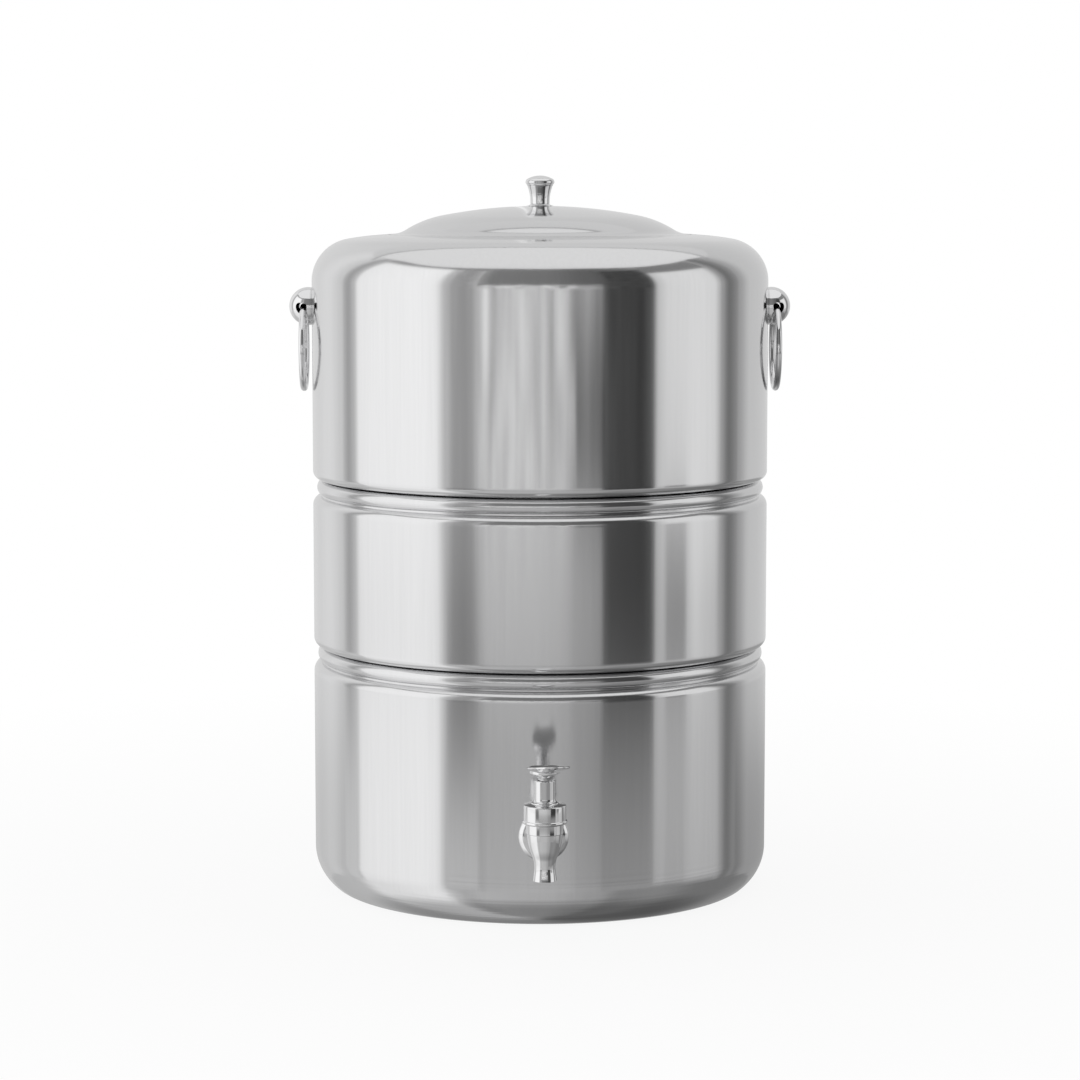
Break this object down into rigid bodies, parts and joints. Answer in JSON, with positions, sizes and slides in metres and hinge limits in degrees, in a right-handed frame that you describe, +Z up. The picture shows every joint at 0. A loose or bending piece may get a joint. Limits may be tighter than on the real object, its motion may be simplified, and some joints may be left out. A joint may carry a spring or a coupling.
{
  "type": "water dispenser pot",
  "caption": "Round steel water pot of three stacked vessels with a lever tap at the foot, two ring handles and a domed lid with a knob.",
  "frame": {"origin": "centre of the flat foot that the pot stands on", "axes": "+Z up along the pot's axis, -Y towards the tap, +X to the right hand of someone facing the tap"},
  "size_m": [0.2112, 0.2425, 0.3007],
  "materials": {
    "brushed_wall": "bright drawn steel, polished round the wall",
    "satin_lid": "bright polished steel",
    "polished_fitting": "mirror bright",
    "plain_steel": "plain turned steel",
    "black_rubber": "matt rubber"
  },
  "bodies": {
    "base": {"base_tank": "brushed_wall", "tap_body": "polished_fitting", "tap_bonnet": "polished_fitting", "spindle_ring": "black_rubber", "tap_spring": "plain_steel", "tap_flange": "polished_fitting", "outer_gasket": "black_rubber", "inner_gasket": "black_rubber", "lock_nut": "plain_steel"},
    "spindle": {"tap_spindle": "plain_steel", "spindle_seal": "black_rubber", "lever_pin": "plain_steel"},
    "lever": {"tap_lever": "polished_fitting"},
    "middle": {"middle_tank": "brushed_wall"},
    "top": {"top_tank": "brushed_wall", "ring_boss_right": "polished_fitting", "ring_boss_left": "polished_fitting", "boss_washers": "plain_steel", "boss_nuts": "plain_steel"},
    "lid": {"lid_shell": "satin_lid", "lid_skirt": "satin_lid", "lid_knob": "polished_fitting", "knob_screw": "plain_steel", "knob_washer": "plain_steel"},
    "ring_right": {"ring_right": "polished_fitting"},
    "ring_left": {"ring_left": "polished_fitting"}
  },
  "joints": [
    {"name": "middle_lift", "type": "slide", "parent": "base", "child": "middle", "axis": [0, 0, 1], "range_m": [0, 0.12]},
    {"name": "top_lift", "type": "slide", "parent": "middle", "child": "top", "axis": [0, 0, 1], "range_m": [0, 0.12]},
    {"name": "lid_lift", "type": "slide", "parent": "top", "child": "lid", "axis": [0, 0, 1], "range_m": [0, 0.1]},
    {"name": "ring_right_swing", "type": "hinge", "parent": "top", "child": "ring_right", "pos_m": [0.0995, 0, 0.246], "axis": [0, -1, 0], "range_deg": [-3, 95]},
    {"name": "ring_left_swing", "type": "hinge", "parent": "top", "child": "ring_left", "pos_m": [-0.0995, 0, 0.246], "axis": [0, 1, 0], "range_deg": [-3, 95]},
    {"name": "spindle_lift", "type": "slide", "parent": "base", "child": "spindle", "axis": [0, 0, 1], "range_m": [0, 0.00165], "deforming": ["tap_spring"]},
    {"name": "lever_press", "type": "hinge", "parent": "spindle", "child": "lever", "pos_m": [0, -0.124, 0.068], "axis": [0.9914, 0.1305, 0], "range_deg": [0, 24], "stiffness_Nm_per_rad": 0.00875, "springref_deg": -59.99}
  ],
  "couplings": [
    {"joint": "spindle_lift", "follows": "lever_press", "m_per_rad": 0.0038197}
  ]
}
